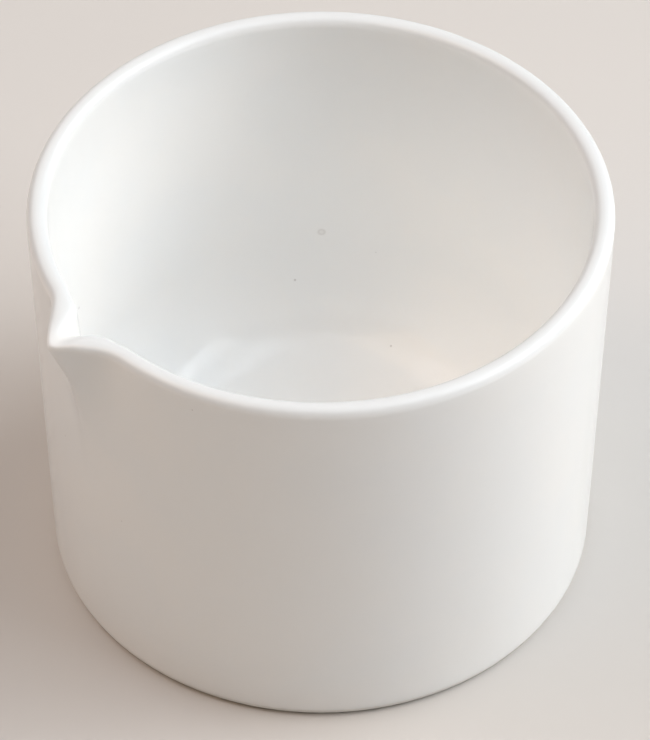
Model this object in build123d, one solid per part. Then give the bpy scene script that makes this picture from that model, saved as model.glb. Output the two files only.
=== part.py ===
from build123d import *
import math
import os

# A laboratory crucible in one piece of fired porcelain, with its coat of glaze.
# Millimetres. The origin is the middle of the base face, +Z runs up the vessel's
# axis and the pouring beak points along +X.

# Driving dimensions of the vessel
RIM_DIAMETER = 70.0
BASE_DIAMETER = 67.4
HEIGHT = 54.6
WALL = 2.5
FLOOR = 3.6
BOWL_RADIUS = 13.0          # radius between the inside of the wall and the floor
FOOT_ROUND = 1.0            # radius of the outside bottom edge
RIM_FLAT = 0.1              # width of the flat between the two rim roundings

# Driving dimensions of the pinched beak
BEAK_REACH = 39.3           # from the vessel's axis to the tip, at the very top
BEAK_HALF_ANGLE = 48.0      # between the beak's centre line and each of its sides
BEAK_LEAN = 0.345           # how far the tip draws in for each millimetre of depth
TIP_RADIUS = 0.9            # outside of the tip, seen from above
TIP_RADIUS_LEAST = 0.35     # inside of the tip, where the walls meet
BEAK_BLEND = 0.9            # how softly the beak's sides run into the wall at the rim
BLEND_GAIN = 0.12           # how much softer that grows for each millimetre of depth
BLEND_INSIDE = 0.12         # and for each millimetre into the wall
BEAK_SPREAD = 24.0          # half the arc that the beak can change, in degrees
BEAK_DEPTH = 24.0           # from the rim to the level where the wall is plain again

# The glaze, and how high above the base its outside edge stops
GLAZE = 0.2
GLAZE_LINE = 1.2

# How finely the curved forms are divided
WALL_STEP = 9.0             # degrees round the plain wall
BEAK_STEP = 1.0             # degrees across the beak
ROUND_STEPS = 5             # steps in a quarter turn of an edge
BEAK_LEVELS = 14            # levels between the beak's root and the rim
ROOM = 1.0                  # how far a cutter runs past what it cuts

RIM_RADIUS = RIM_DIAMETER / 2
BASE_RADIUS = BASE_DIAMETER / 2
RIM_ROUND = (WALL - RIM_FLAT) / 2
SIDE_SLOPE = 1 / math.tan(math.radians(BEAK_HALF_ANGLE))
SIDE_STRETCH = 1 / math.sin(math.radians(BEAK_HALF_ANGLE))
BEAK_APEX = BEAK_REACH + SIDE_SLOPE ** 2 * TIP_RADIUS


def ring_angles():
    """Angles of the points round a level: close together across the beak, wider elsewhere."""
    across = round(2 * BEAK_SPREAD / BEAK_STEP)
    around = round((360 - 2 * BEAK_SPREAD) / WALL_STEP)
    beak = [-BEAK_SPREAD + 2 * BEAK_SPREAD * i / across for i in range(across)]
    wall = [BEAK_SPREAD + (360 - 2 * BEAK_SPREAD) * i / around for i in range(around)]
    return [math.radians(a) for a in beak + wall]


def soft_max(a, b, blend):
    """The larger of two radii, with a smooth step from one to the other."""
    near = max(blend - abs(a - b), 0) / blend
    return max(a, b) + near * near * blend / 4


def beak_radius(angle, apex, tip_radius):
    """Distance from the axis to a beak whose plan is a hyperbola inside a V with that apex."""
    flat = tip_radius * SIDE_SLOPE
    along = apex * math.cos(angle)
    spread = math.cos(angle) ** 2 - (SIDE_SLOPE * math.sin(angle)) ** 2
    inside = along ** 2 - spread * (apex ** 2 - (SIDE_SLOPE * flat) ** 2)
    return (along - math.sqrt(inside)) / spread


def skin_radius(angle, z, grow):
    """Radius of the vessel's outside at an angle and height, grown outwards by a distance."""
    wall = BASE_RADIUS + (RIM_RADIUS - BASE_RADIUS) * z / HEIGHT + grow
    if angle > math.pi:
        angle -= 2 * math.pi
    depth = HEIGHT - z
    if abs(angle) >= math.radians(BEAK_SPREAD) or depth > BEAK_DEPTH:
        return wall
    apex = BEAK_APEX - BEAK_LEAN * depth + grow * SIDE_STRETCH
    tip_radius = max(TIP_RADIUS + grow, TIP_RADIUS_LEAST)
    blend = BEAK_BLEND + BLEND_GAIN * depth - BLEND_INSIDE * grow
    return soft_max(wall, beak_radius(angle, apex, tip_radius), blend)


def ring(z, grow, level=None):
    """A closed level of the vessel's skin, drawn at its own height or at another level."""
    turns = ring_angles()
    radii = [skin_radius(turn, z, grow) for turn in turns]
    height = z if level is None else level
    points = [Vector(r * math.cos(t), r * math.sin(t), height) for r, t in zip(radii, turns)]
    return Wire([Edge.make_spline(points, periodic=True, parameters=turns + [turns[0] + 2 * math.pi])])


def quarter(radius):
    """Steps of a quarter turn, as pairs of how far it has drawn in and risen."""
    turns = [math.pi / 2 * i / ROUND_STEPS for i in range(ROUND_STEPS + 1)]
    return [(radius * (1 - math.cos(t)), radius * math.sin(t)) for t in turns]


def beak_heights():
    """Heights of the levels from the beak's root up to where the rim begins to round."""
    root = HEIGHT - BEAK_DEPTH
    span = BEAK_DEPTH - RIM_ROUND
    return [root + span * i / BEAK_LEVELS for i in range(BEAK_LEVELS)]


def outside_form(depth):
    """The vessel's outer form as a solid, at a depth below the glaze's surface."""
    rim = RIM_ROUND - depth
    foot = [ring(FOOT_ROUND - rise, -draw - depth) for draw, rise in reversed(quarter(FOOT_ROUND))]
    wall = [ring(z, -depth) for z in beak_heights()]
    lip = [ring(HEIGHT - RIM_ROUND + rise, -draw - depth) for draw, rise in quarter(rim)]
    return Solid.make_loft(foot + wall + lip, ruled=True)


def inside_form(depth):
    """The hollow of the vessel as a solid, grown by a depth below the glaze's surface."""
    rim = RIM_ROUND - depth
    inner = depth - WALL
    bowl_top = FLOOR + BOWL_RADIUS
    deepen = (BOWL_RADIUS + depth) / BOWL_RADIUS
    bowl = [ring(bowl_top - rise, inner - draw, bowl_top - rise * deepen)
            for draw, rise in reversed(quarter(BOWL_RADIUS))]
    wall = [ring(z, inner) for z in beak_heights()]
    lip = [ring(HEIGHT - RIM_ROUND + rise, inner + draw) for draw, rise in quarter(rim)]
    mouth = [ring(HEIGHT - depth, inner + rim, HEIGHT + ROOM)]
    return Solid.make_loft(bowl + wall + lip + mouth, ruled=True)


def glazed_vessel():
    """The whole vessel, from the glaze's outer surface to its inner one."""
    return outside_form(0) - inside_form(0)


def porcelain_body():
    """The fired porcelain under the glaze, with its bare foot."""
    return outside_form(GLAZE) - inside_form(GLAZE)


def glaze_coat(body):
    """The glaze: the skin between the vessel's surface and the body, above the bare foot."""
    foot_band = Cylinder(RIM_DIAMETER, GLAZE_LINE + ROOM, align=(Align.CENTER, Align.CENTER, Align.MIN))
    return glazed_vessel() - body - foot_band.move(Location((0, 0, -ROOM)))


def main():
    """Build the two pieces and write one STEP file for each."""
    os.makedirs("parts", exist_ok=True)
    body = porcelain_body()
    export_step(body, "parts/porcelain_body.step")
    export_step(glaze_coat(body), "parts/glaze_coat.step")


main()
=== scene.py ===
"""A glazed porcelain laboratory crucible with a pinched pouring beak, on a plain pale table.

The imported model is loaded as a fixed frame, and the vessel's two pieces, the fired porcelain body
and its coat of glaze, are turned, pinched and finished around it. Everything is in metres.
"""

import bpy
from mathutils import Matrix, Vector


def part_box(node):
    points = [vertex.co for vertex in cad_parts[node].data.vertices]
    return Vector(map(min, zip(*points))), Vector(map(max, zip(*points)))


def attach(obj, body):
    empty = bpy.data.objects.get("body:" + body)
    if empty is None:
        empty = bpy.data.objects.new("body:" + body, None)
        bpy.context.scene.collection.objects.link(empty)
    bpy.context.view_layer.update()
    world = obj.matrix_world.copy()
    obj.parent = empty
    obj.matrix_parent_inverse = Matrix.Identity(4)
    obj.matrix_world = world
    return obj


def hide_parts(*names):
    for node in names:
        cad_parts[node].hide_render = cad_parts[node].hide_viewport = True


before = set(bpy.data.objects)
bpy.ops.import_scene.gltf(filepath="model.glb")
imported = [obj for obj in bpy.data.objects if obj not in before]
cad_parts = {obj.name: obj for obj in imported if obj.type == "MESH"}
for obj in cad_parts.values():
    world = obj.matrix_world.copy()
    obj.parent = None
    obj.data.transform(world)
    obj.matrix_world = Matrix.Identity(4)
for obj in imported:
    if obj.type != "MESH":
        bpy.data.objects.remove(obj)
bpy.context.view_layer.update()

import logging
import math
from dataclasses import dataclass, field
from enum import Enum

import bmesh
import bpy
from mathutils import Matrix, Vector

MM = 0.001
MERGE = 1e-7
AXIS = (0.0, 0.0, 1.0)
ORIGIN = (0.0, 0.0, 0.0)
FULL_TURN = 2 * math.pi
ROOT_BODY = "root"

log = logging.getLogger("crucible")


class Node(Enum):
    """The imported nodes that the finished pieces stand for."""

    BODY = "porcelain_body"
    GLAZE = "glaze_coat"


class Slot(Enum):
    """The record's material slots."""

    BISQUE = "bisque_porcelain"
    GLAZE = "white_glaze"


@dataclass(frozen=True)
class Grain:
    """Soft noise: the width of its features, its finer octaves, their roughness and its strength."""

    size: float
    detail: float
    roughness: float = 0.5
    strength: float = 1.0


@dataclass(frozen=True)
class Dots:
    """Scattered round specks: spacing of their places, radius, share of places filled, strength."""

    spacing: float
    radius: float
    share: float
    strength: float


class Field:
    """A shader value: an output socket wrapped so that maths on it reads as plain Python."""

    def __init__(self, book: "NodeBook", socket: bpy.types.NodeSocket) -> None:
        """Keep the socket and the book of nodes that it belongs to."""
        self.book = book
        self.socket = socket

    def _math(self, operation: str, *values: object) -> "Field":
        """Add one Math node.

        Args:
            operation: The Math node's operation.
            values: Numbers or Fields for its sockets, in order.

        Returns:
            The node's result.
        """
        return self.book.add("ShaderNodeMath", {"operation": operation}, dict(enumerate(values)))

    def __add__(self, other: object) -> "Field":
        """Sum with a number or Field."""
        return self._math("ADD", self, other)

    def __radd__(self, other: object) -> "Field":
        """Sum with a number on the left."""
        return self._math("ADD", other, self)

    def __sub__(self, other: object) -> "Field":
        """Difference from a number or Field."""
        return self._math("SUBTRACT", self, other)

    def __rsub__(self, other: object) -> "Field":
        """A number less this value."""
        return self._math("SUBTRACT", other, self)

    def __mul__(self, other: object) -> "Field":
        """Product with a number or Field."""
        return self._math("MULTIPLY", self, other)

    def __rmul__(self, other: object) -> "Field":
        """Product with a number on the left."""
        return self._math("MULTIPLY", other, self)

    def __truediv__(self, other: object) -> "Field":
        """Quotient by a number or Field."""
        return self._math("DIVIDE", self, other)

    def __rtruediv__(self, other: object) -> "Field":
        """A number divided by this value."""
        return self._math("DIVIDE", other, self)

    def __abs__(self) -> "Field":
        """The value without its sign."""
        return self._math("ABSOLUTE", self)

    def sine(self) -> "Field":
        """Sine of the value, taken in radians."""
        return self._math("SINE", self)

    def larger(self, other: object) -> "Field":
        """The larger of this and a number or Field."""
        return self._math("MAXIMUM", self, other)

    def ramp(self, low: float, high: float) -> "Field":
        """A smooth step between two values, whichever way round they are.

        Args:
            low: Value at which the step is 0.
            high: Value at which the step is 1.

        Returns:
            The step, from 0 to 1.
        """
        settings = {"interpolation_type": "SMOOTHSTEP"}
        return self.book.add("ShaderNodeMapRange", settings, {0: self, 1: low, 2: high})

    def beside(self, output: str) -> "Field":
        """Another output of the same node."""
        return Field(self.book, self.socket.node.outputs[output])


class NodeBook:
    """A node tree, with one method for adding nodes and a few for patterns."""

    NOISE_MIDDLE = 0.5
    # A speck is at full strength inside this part of its radius.
    SPECK_CORE = 0.5
    # This share of the specks is at full strength, and the others are fainter.
    FULL_SPECKS = 0.6

    def __init__(self, owner: bpy.types.Material | bpy.types.World, place: str = "Object") -> None:
        """Start with only the coordinates.

        Args:
            owner: The material or world that the nodes are for.
            place: The kind of coordinates.
        """
        self.owner = owner
        owner.use_nodes = True
        owner.node_tree.nodes.clear()
        self.place = self.add("ShaderNodeTexCoord", {}, {}, place)

    def add(self, kind: str, settings: dict, sockets: dict, output: object = 0) -> Field | None:
        """Add one node, its settings first and then its sockets.

        Args:
            kind: The node's type.
            settings: Values of the node's own properties.
            sockets: Values or Fields for its inputs, by name or number.
            output: Name or number of the output that is wanted.

        Returns:
            That output, or None where the node has no outputs.
        """
        tree = self.owner.node_tree
        node = tree.nodes.new(kind)
        for name, value in settings.items():
            setattr(node, name, value)
        for name, value in sockets.items():
            if isinstance(value, Field):
                tree.links.new(value.socket, node.inputs[name])
            else:
                node.inputs[name].default_value = value
        return Field(self, node.outputs[output]) if node.outputs else None

    def noise(self, grain: Grain) -> Field:
        """Soft noise over the piece, before its strength is taken.

        Args:
            grain: The noise that is wanted.

        Returns:
            The noise, around its middle value.
        """
        sockets = {
            "Vector": self.place,
            "Scale": 1 / grain.size,
            "Detail": grain.detail,
            "Roughness": grain.roughness,
        }
        return self.add("ShaderNodeTexNoise", {}, sockets)

    def relief(self, grain: Grain) -> Field:
        """Soft noise at its strength, centred on zero."""
        return (self.noise(grain) - self.NOISE_MIDDLE) * grain.strength

    def distance_to(self, point: Vector) -> Field:
        """Distance in metres from a fixed point of the piece."""
        sockets = {0: self.place, 1: tuple(point)}
        return self.add("ShaderNodeVectorMath", {"operation": "DISTANCE"}, sockets, "Value")

    def dots(self, dots: Dots) -> Field:
        """Scattered round specks, a little different in strength.

        Args:
            dots: The specks that are wanted.

        Returns:
            A mask that rises to the specks' strength inside them.
        """
        sockets = {"Vector": self.place, "Scale": 1 / dots.spacing, "Randomness": 1.0}
        near = self.add("ShaderNodeTexVoronoi", {"feature": "F1"}, sockets, "Distance")
        chance = self.add("ShaderNodeSeparateColor", {}, {0: near.beside("Color")})
        shape = (near * (dots.spacing / dots.radius)).ramp(1.0, self.SPECK_CORE)
        filled = chance.ramp(1 - dots.share, 1 - dots.share * self.FULL_SPECKS)
        return shape * filled * dots.strength

    def mix(self, amount: object, first: object, second: object) -> Field:
        """Mix two colours.

        Args:
            amount: Share of the second colour, a number or Field.
            first: A colour or Field.
            second: A colour or Field.

        Returns:
            The mixed colour.
        """
        return self.add("ShaderNodeMix", {"data_type": "RGBA"}, {0: amount, 6: first, 7: second}, 2)

    def bump(self, height: Field) -> Field:
        """A normal from a relief given in millimetres."""
        return self.add("ShaderNodeBump", {}, {"Strength": 1.0, "Distance": MM, "Height": height})

    def finish(self, sockets: dict) -> bpy.types.Material:
        """Close the tree with a Principled shader.

        Args:
            sockets: The shader's inputs, by name.

        Returns:
            The finished material.
        """
        surface = self.add("ShaderNodeBsdfPrincipled", {}, sockets)
        self.add("ShaderNodeOutputMaterial", {}, {"Surface": surface})
        return self.owner


def rgb(red: float, green: float, blue: float) -> tuple[float, float, float, float]:
    """An opaque colour."""
    return (red, green, blue, 1.0)


def clamp(value: float) -> float:
    """The value, held between 0 and 1."""
    return min(max(value, 0.0), 1.0)


def smooth_step(value: float) -> float:
    """A rise from 0 to 1 that starts and ends level."""
    share = clamp(value)
    return share * share * (3 - 2 * share)


@dataclass(frozen=True)
class Mark:
    """A speck or ring fired into the glaze of the bowl, its place in millimetres."""

    place: tuple
    radius: float
    strength: float
    ring: bool = False
    core: float = 0.4
    ring_radius: float = 0.68
    ring_width: float = 0.45
    ring_strength: float = 0.7
    ring_middle: float = 0.4

    def mask(self, book: NodeBook) -> Field:
        """Draw the mark.

        Args:
            book: The glaze's nodes.

        Returns:
            A mask that rises to the mark's strength inside it.
        """
        away = book.distance_to(Vector(self.place) * MM) / self.radius
        shape = away.ramp(1.0, self.core)
        if self.ring:
            ring = abs(away - self.ring_radius).ramp(self.ring_width, 0.0)
            shape = ring * self.ring_strength + shape * self.ring_middle
        return shape * self.strength


@dataclass(frozen=True)
class GlazeFinish:
    """White glaze with a satin gloss, faint pooling, pinholes and a few fired-in specks."""

    thin: tuple = rgb(0.95, 0.945, 0.93)
    thick: tuple = rgb(0.93, 0.935, 0.93)
    # The edge colour is a greyer rim: partly thinner glaze, and partly painted shade that tones down
    # the light on the rim's top. It fades in between the two depths below the rim.
    edge: tuple = rgb(0.80, 0.81, 0.81)
    thin_glaze_and_shade_depths: tuple = (1.1 * MM, 0.1 * MM)
    speck: tuple = rgb(0.30, 0.27, 0.24)
    roughness: float = 0.48
    refraction: float = 1.5
    coat: float = 0.55
    coat_roughness: float = 0.07
    pooling: Grain = Grain(16 * MM, 3.0)
    pooling_range: tuple = (0.35, 0.65)
    peel: Grain = Grain(1.1 * MM, 1.0, strength=0.004)
    waves: Grain = Grain(9 * MM, 2.0, strength=0.05)
    satin: Grain = Grain(5 * MM, 3.0, strength=0.12)
    specks: Dots = Dots(3.4 * MM, 0.13 * MM, 0.07, 0.4)
    pinholes: Dots = Dots(2.3 * MM, 0.13 * MM, 0.12, 0.02)

    def build(self, marks: tuple[Mark, ...], rim: float) -> bpy.types.Material:
        """Make the material, which greys in a band just below the rim: the glaze is thinner there, and
        the grey is also painted shade that tones down the light falling on the rim's top.

        Args:
            marks: The larger marks in the bowl.
            rim: Height of the rim.

        Returns:
            The material.
        """
        book = NodeBook(bpy.data.materials.new("white_glaze"))
        pooled = book.noise(self.pooling).ramp(*self.pooling_range)
        colour = book.mix(pooled, self.thin, self.thick)
        height = book.add("ShaderNodeSeparateXYZ", {}, {0: book.place}, "Z")
        start, full = self.thin_glaze_and_shade_depths
        # Painted shade: the band just below the rim is greyed, as well as being thinner glaze.
        colour = book.mix(height.ramp(rim - start, rim - full), colour, self.edge)
        specks = book.dots(self.specks)
        for mark in marks:
            specks = specks.larger(mark.mask(book))
        colour = book.mix(specks, colour, self.speck)
        relief = book.relief(self.peel) + book.relief(self.waves) - book.dots(self.pinholes)
        return book.finish(
            {
                "Base Color": colour,
                "Roughness": self.roughness + book.relief(self.satin),
                "IOR": self.refraction,
                "Coat Weight": self.coat,
                "Coat Roughness": self.coat_roughness,
                "Normal": book.bump(relief),
            }
        )


@dataclass(frozen=True)
class BisqueFinish:
    """Bare fired porcelain, matt, with a fine grain and the rings left by grinding the foot flat."""

    clean: tuple = rgb(0.83, 0.815, 0.78)
    worn: tuple = rgb(0.62, 0.60, 0.56)
    roughness: float = 0.72
    underside_height: float = 0.5 * MM
    scuffs: Grain = Grain(2.5 * MM, 4.0, 0.65, 0.5)
    scuff_range: tuple = (0.45, 0.7)
    grain: Grain = Grain(0.35 * MM, 3.0, 0.6, 0.014)
    ring_pitch: float = 0.11 * MM
    ring_relief: float = 0.004

    def build(self) -> bpy.types.Material:
        """Make the material.

        Returns:
            The material.
        """
        book = NodeBook(bpy.data.materials.new("bisque_porcelain"))
        height = book.add("ShaderNodeSeparateXYZ", {}, {0: book.place}, "Z")
        underside = height.ramp(self.underside_height, 0.0)
        scuffs = book.noise(self.scuffs).ramp(*self.scuff_range)
        colour = book.mix(underside * scuffs * self.scuffs.strength, self.clean, self.worn)
        flatten = {0: book.place, 1: (1.0, 1.0, 0.0)}
        plan = book.add("ShaderNodeVectorMath", {"operation": "MULTIPLY"}, flatten)
        radius = book.add("ShaderNodeVectorMath", {"operation": "LENGTH"}, {0: plan}, "Value")
        rings = (radius / self.ring_pitch).sine() * underside * self.ring_relief
        return book.finish(
            {
                "Base Color": colour,
                "Roughness": self.roughness,
                "Normal": book.bump(book.relief(self.grain) + rings),
            }
        )


@dataclass(frozen=True)
class TableFinish:
    """The plain pale table."""

    colour: tuple = rgb(0.63, 0.595, 0.565)
    roughness: float = 0.9

    def build(self) -> bpy.types.Material:
        """Make the material.

        Returns:
            The material.
        """
        book = NodeBook(bpy.data.materials.new("pale_table"))
        return book.finish({"Base Color": self.colour, "Roughness": self.roughness})


@dataclass(frozen=True)
class Surround:
    """The room round the table: pale up to a little above the horizon, and dark higher up."""

    pale: tuple = rgb(0.50, 0.475, 0.455)
    dark: tuple = rgb(0.02, 0.02, 0.02)
    rise: tuple = (0.05, 0.11)

    def build(self) -> None:
        """Put the room round the scene."""
        world = bpy.data.worlds.new("room")
        book = NodeBook(world, "Generated")
        height = book.add("ShaderNodeSeparateXYZ", {}, {0: book.place}, "Z")
        colour = book.mix(height.ramp(*self.rise), self.pale, self.dark)
        light = book.add("ShaderNodeBackground", {}, {"Color": colour, "Strength": 1.0})
        book.add("ShaderNodeOutputWorld", {}, {"Surface": light})
        bpy.context.scene.world = world


@dataclass(frozen=True)
class Beak:
    """The pinched pouring beak: a rounded V in plan that draws in with depth.

    The lean is how far the V draws in for each metre of depth. The blend is how far from the beak
    the wall starts to turn into it, and its gain is how much that grows with depth. The swell is
    extra thickness inside the lip, from the first of its turns to the second, and the droop is how
    far the tip hangs below the rim.
    """

    reach: float = 39.3 * MM
    half_angle: float = math.radians(48)
    lean: float = 0.345
    tip_radius: float = 0.9 * MM
    tip_radius_least: float = 0.35 * MM
    blend: float = 0.9 * MM
    blend_gain: float = 0.12
    blend_inside: float = 0.12
    spread: float = math.radians(24)
    depth: float = 24 * MM
    swell: float = 1.0 * MM
    swell_depth: float = 7 * MM
    swell_turns: tuple = (math.radians(9.5), math.radians(3.5))
    droop: float = 0.8 * MM
    droop_turn: float = math.radians(2.4)

    def plan_radius(self, turn: float, apex: float, tip_radius: float) -> float:
        """Distance from the axis to the beak's plan, a hyperbola inside a V.

        Args:
            turn: Angle from the beak's centre line.
            apex: Where the V's sides would meet.
            tip_radius: Radius of the tip in plan.

        Returns:
            The distance.
        """
        slope = 1 / math.tan(self.half_angle)
        along = apex * math.cos(turn)
        spread = math.cos(turn) ** 2 - (slope * math.sin(turn)) ** 2
        inside = along ** 2 - spread * (apex ** 2 - (slope * slope * tip_radius) ** 2)
        return (along - math.sqrt(inside)) / spread

    def pushed_radius(self, turn: float, depth: float, wall: float, grow: float) -> float:
        """Radius of the vessel where the beak may have pushed it out.

        It is the larger of the wall's and the beak's radius, with the corner between them blended.

        Args:
            turn: Angle from the beak's centre line.
            depth: Distance below the rim.
            wall: Radius before the beak was pinched.
            grow: How far that is outside the vessel's own outside wall.

        Returns:
            The radius.
        """
        if abs(turn) >= self.spread or depth >= self.depth:
            return wall
        apex = self.reach + self.tip_radius / math.tan(self.half_angle) ** 2
        apex += grow / math.sin(self.half_angle) - self.lean * depth
        tip = max(self.tip_radius + grow, self.tip_radius_least)
        beak = self.plan_radius(turn, apex, tip)
        blend = self.blend + self.blend_gain * depth - self.blend_inside * grow
        near = max(blend - abs(wall - beak), 0) / blend
        return max(wall, beak) + near * near * blend / 4

    def thicken(self, vert: bmesh.types.BMVert, turn: float, depth: float, inward: float) -> None:
        """Roll the pinched lip inwards a little, and let its tip droop.

        Args:
            vert: A vertex of the pinched form.
            turn: Its angle from the beak's centre line.
            depth: Its distance below the rim.
            inward: Its place through the wall, 0 outside and 1 inside.
        """
        fade = max(1 - depth / self.swell_depth, 0.0)
        start, full = self.swell_turns
        share = smooth_step((start - abs(turn)) / (start - full))
        radius = vert.co.xy.length
        vert.co.xy *= 1 - self.swell * share * inward * fade * fade / radius
        vert.co.z -= self.droop * math.exp(-((turn / self.droop_turn) ** 2)) * fade


@dataclass(frozen=True)
class Corner:
    """A corner of the turned profile, and the arc that rounds it."""

    radius: float
    height: float
    arc: float = 0.0
    steps: int = 0


@dataclass
class Vessel:
    """The crucible: its turned profile, its beak, and the two pieces made from them.

    The rim is rounded inside and outside, with the rim flat left level between the two arcs. The
    glaze bead is the rounding of the glaze's lower edge.
    """

    wall: float = 2.5 * MM
    floor: float = 3.6 * MM
    bowl_arc: float = 13 * MM
    foot_arc: float = 1.0 * MM
    rim_flat: float = 0.1 * MM
    base_radius: float = 33.7 * MM
    glaze: float = 0.2 * MM
    glaze_bead: float = 0.12 * MM
    row_height: float = 1.0 * MM
    rim_steps: int = 8
    bowl_steps: int = 18
    foot_steps: int = 6
    bead_steps: int = 4
    beak_steps: int = 120
    wall_steps: int = 104
    marks: tuple = (
        Mark((-18.77, -25.49, 19.25), 0.62 * MM, 0.2, ring=True),
        Mark((-15.28, -26.56, 11.77), 0.22 * MM, 0.35),
        Mark((18.21, -26.10, 26.66), 0.25 * MM, 0.35),
        Mark((-21.65, -14.18, 5.87), 0.20 * MM, 0.35),
    )
    beak: Beak = field(default_factory=Beak)

    def __post_init__(self) -> None:
        """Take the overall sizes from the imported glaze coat.

        The coat is widest where the rim's rounding starts, so the wall's slope is carried on from
        there to the rim's own height.
        """
        low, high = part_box(Node.GLAZE.value)
        self.height = high[2]
        self.glaze_line = low[2]
        self.rim_arc = (self.wall - self.rim_flat) / 2
        widest = self.height - self.rim_arc
        self.rim_radius = self.base_radius - (low[0] + self.base_radius) * self.height / widest

    def wall_radius(self, height: float) -> float:
        """Radius of the plain outside wall at a height."""
        return self.base_radius + (self.rim_radius - self.base_radius) * height / self.height

    def upper_corners(self, inset: float) -> list[Corner]:
        """Corners from the rim to the middle of the bowl.

        Args:
            inset: Depth of the profile below the glaze's surface.

        Returns:
            The corners, from the outside inwards.
        """
        top = self.height - inset
        sunk = self.floor - inset
        arc = self.rim_arc - inset
        thick = self.wall - inset
        return [
            Corner(self.wall_radius(top) - inset, top, arc, self.rim_steps),
            Corner(self.wall_radius(top) - thick, top, arc, self.rim_steps),
            Corner(self.wall_radius(sunk) - thick, sunk, self.bowl_arc + inset, self.bowl_steps),
            Corner(0.0, sunk),
        ]

    def body_corners(self) -> list[Corner]:
        """Corners of the porcelain body's profile, from the middle of its base."""
        foot = Corner(self.base_radius - self.glaze, 0.0, self.foot_arc, self.foot_steps)
        return [Corner(0.0, 0.0), foot] + self.upper_corners(self.glaze)

    def glaze_corners(self) -> list[Corner]:
        """Corners of the glaze's profile: its surface, and back along the body to its edge.

        Returns:
            The corners, closed.
        """
        line = self.glaze_line
        edge = self.wall_radius(line)
        start = Corner(edge - self.glaze, line)
        bead = Corner(edge, line, self.glaze_bead, self.bead_steps)
        surface = self.upper_corners(0.0)
        back = self.upper_corners(self.glaze)[::-1]
        return [start, bead] + surface + back + [start]

    def profile(self, mesh: bmesh.types.BMesh, corners: list[Corner]) -> None:
        """Draw a profile in the XZ plane and round its corners.

        Args:
            mesh: Where it is drawn.
            corners: Its corners in order; the profile closes if the last is the first. Two
                together on the axis are left unjoined.
        """
        made = {corner: mesh.verts.new((corner.radius, 0.0, corner.height)) for corner in corners}
        for first, second in zip(corners, corners[1:]):
            if first.radius or second.radius:
                mesh.edges.new((made[first], made[second]))
        for corner, vert in made.items():
            if corner.arc:
                self.round_corner(mesh, vert, corner)
        for edge in list(mesh.edges):
            cuts = math.ceil(edge.calc_length() / self.row_height) - 1
            if cuts > 0:
                bmesh.ops.subdivide_edges(mesh, edges=[edge], cuts=cuts)

    @staticmethod
    def round_corner(mesh: bmesh.types.BMesh, vert: bmesh.types.BMVert, corner: Corner) -> None:
        """Bevel one corner of the profile to its arc.

        Args:
            mesh: The profile.
            vert: The vertex at the corner.
            corner: The corner's arc.
        """
        arms = [edge.other_vert(vert).co - vert.co for edge in vert.link_edges]
        bmesh.ops.bevel(
            mesh,
            geom=[vert],
            offset=corner.arc / math.tan(arms[0].angle(arms[1]) / 2),
            offset_type="OFFSET",
            affect="VERTICES",
            segments=corner.steps,
            profile=0.5,
            material=-1,
        )

    def turn(self, mesh: bmesh.types.BMesh) -> None:
        """Spin the profile round the axis, finely across the beak and plainly elsewhere.

        Args:
            mesh: The profile, which becomes the turned form.
        """
        half = self.beak.spread
        chain = list(mesh.verts) + list(mesh.edges)
        back = Matrix.Rotation(-half, 3, "Z")
        bmesh.ops.rotate(mesh, verts=mesh.verts, cent=ORIGIN, matrix=back)
        for sweep, steps in ((2 * half, self.beak_steps), (FULL_TURN - 2 * half, self.wall_steps)):
            result = bmesh.ops.spin(
                mesh,
                geom=chain,
                cent=ORIGIN,
                axis=AXIS,
                angle=sweep,
                steps=steps,
                use_merge=False,
            )
            chain = result["geom_last"]
        bmesh.ops.remove_doubles(mesh, verts=mesh.verts, dist=MERGE)

    def pinch(self, mesh: bmesh.types.BMesh) -> None:
        """Push the turned form out into the beak, leaving the middle of the floor alone.

        Args:
            mesh: The turned form.
        """
        for vert in mesh.verts:
            radius = vert.co.xy.length
            if radius < self.rim_radius / 2:
                continue
            depth = self.height - vert.co.z
            turn = math.atan2(vert.co.y, vert.co.x)
            grow = radius - self.wall_radius(vert.co.z)
            vert.co.xy *= self.beak.pushed_radius(turn, depth, radius, grow) / radius
            if abs(turn) < self.beak.spread and depth < self.beak.swell_depth:
                self.beak.thicken(vert, turn, depth, clamp(-grow / self.wall))

    def piece(self, name: str, corners: list[Corner], material: bpy.types.Material) -> bpy.types.Object:
        """Make one smooth piece from its profile.

        Args:
            name: The piece's name.
            corners: Its profile.
            material: Its finish.

        Returns:
            The piece, at the origin.
        """
        mesh = bmesh.new()
        self.profile(mesh, corners)
        self.turn(mesh)
        self.pinch(mesh)
        bmesh.ops.recalc_face_normals(mesh, faces=mesh.faces)
        data = bpy.data.meshes.new(name)
        mesh.to_mesh(data)
        mesh.free()
        data.shade_smooth()
        data.materials.append(material)
        piece = bpy.data.objects.new(name, data)
        bpy.context.scene.collection.objects.link(piece)
        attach(piece, ROOT_BODY)
        log.info("%s: %d faces", name, len(data.polygons))
        return piece

    def build(self) -> None:
        """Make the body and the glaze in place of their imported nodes."""
        body = self.piece("fired_body", self.body_corners(), BisqueFinish().build())
        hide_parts(Node.BODY.value)
        finish = GlazeFinish().build(self.marks, self.height)
        coat = self.piece("glaze_skin", self.glaze_corners(), finish)
        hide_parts(Node.GLAZE.value)


def direction(turn: float, rise: float) -> Vector:
    """The unit vector at an angle on the ground and an angle above it."""
    return Vector((math.cos(turn) * math.cos(rise), math.sin(turn) * math.cos(rise), math.sin(rise)))


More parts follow.
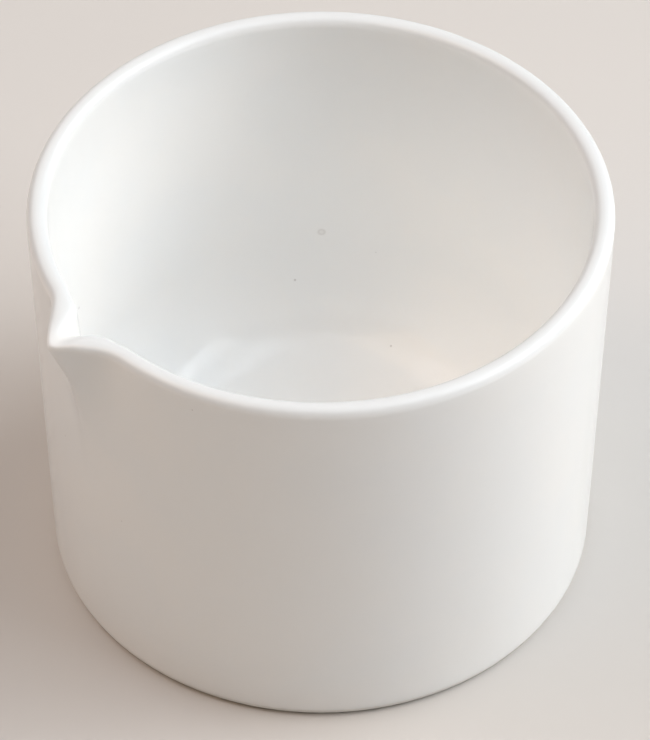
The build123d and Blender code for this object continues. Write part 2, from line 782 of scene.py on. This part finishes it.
@dataclass(frozen=True)
class SoftBox:
    """A soft light; its side and rise are the degrees round from the camera and above the ground."""

    name: str
    side: float
    rise: float
    power: float
    colour: tuple
    away: float = 1.1
    width: float = 0.8
    tall: float = 0.8

    def build(self, target: Vector, front: float) -> None:
        """Hang the light and turn it to the vessel.

        Args:
            target: The point that it faces.
            front: Ground angle of the camera.
        """
        lamp = bpy.data.lights.new(self.name, "AREA")
        lamp.shape = "RECTANGLE"
        lamp.size = self.width
        lamp.size_y = self.tall
        lamp.energy = self.power
        lamp.color = self.colour
        light = bpy.data.objects.new(self.name, lamp)
        turn = front + math.radians(self.side)
        rise = math.radians(self.rise)
        toward = direction(turn, rise)
        light.location = target + toward * self.away
        light.rotation_euler = toward.to_track_quat("Z", "Y").to_euler()
        bpy.context.scene.collection.objects.link(light)


@dataclass(frozen=True)
class Studio:
    """The pale table, the soft lights and the camera.

    The camera stands at the front angle and the rise, away from the middle of the mouth, and aims
    at a point that is dropped and a little aside from there.
    """

    front: float = math.radians(53.8)
    rise: float = math.radians(43.43765)
    away: float = 548.9 * MM
    drop: float = 28.5 * MM
    aside: float = 0.5 * MM
    lens: float = 224.97
    sensor: float = 36.0
    table_radius: float = 1.0
    table_steps: int = 96
    lights: tuple = (
        SoftBox("window_far", 110, 35, 4.4, (0.98, 1.0, 0.98)),
        SoftBox("window_strip", 100, 38, 2.5, (1.0, 1.0, 1.0), tall=0.2),
        SoftBox("window_near", 80, 35, 4.2, (1.0, 1.0, 1.0)),
        SoftBox("window_top", 80, 58, 3.6, (0.80, 0.91, 1.0)),
        SoftBox("left_near", -70, 55, 3.8, (1.0, 0.74, 0.50)),
        SoftBox("left_far", -110, 50, 2.7, (0.86, 0.88, 1.0)),
        SoftBox("behind", -150, 35, 1.25, (1.0, 0.98, 0.90)),
        SoftBox("overhead", 0, 82, 1.4, (0.80, 0.88, 1.0)),
    )

    def build(self, top: Vector) -> None:
        """Set up the table, lights and camera.

        Args:
            top: The middle of the vessel's mouth.
        """
        self.build_table()
        for light in self.lights:
            light.build(Vector((0.0, 0.0, top.z / 2)), self.front)
        Surround().build()
        bpy.context.scene.view_settings.view_transform = "Standard"
        self.build_camera(top)

    def build_table(self) -> None:
        """Lay the table top under the vessel."""
        mesh = bmesh.new()
        bmesh.ops.create_circle(
            mesh,
            cap_ends=True,
            segments=self.table_steps,
            radius=self.table_radius,
        )
        data = bpy.data.meshes.new("table")
        mesh.to_mesh(data)
        mesh.free()
        data.materials.append(TableFinish().build())
        table = bpy.data.objects.new("table", data)
        bpy.context.scene.collection.objects.link(table)

    def build_camera(self, top: Vector) -> None:
        """Aim the camera down at the vessel.

        Args:
            top: The middle of the vessel's mouth.
        """
        lens = bpy.data.cameras.new("camera")
        lens.lens = self.lens
        lens.sensor_width = self.sensor
        camera = bpy.data.objects.new("camera", lens)
        right = direction(self.front + FULL_TURN / 4, 0.0)
        camera.location = top + direction(self.front, self.rise) * self.away
        aim = top - Vector(AXIS) * self.drop + right * self.aside
        camera.rotation_euler = (camera.location - aim).to_track_quat("Z", "Y").to_euler()
        bpy.context.scene.collection.objects.link(camera)
        bpy.context.scene.camera = camera


def main() -> None:
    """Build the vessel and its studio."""
    logging.basicConfig(level=logging.INFO, format="%(message)s")
    vessel = Vessel()
    vessel.build()
    Studio().build(Vector((0.0, 0.0, vessel.height)))


if __name__ == "__main__":
    main()
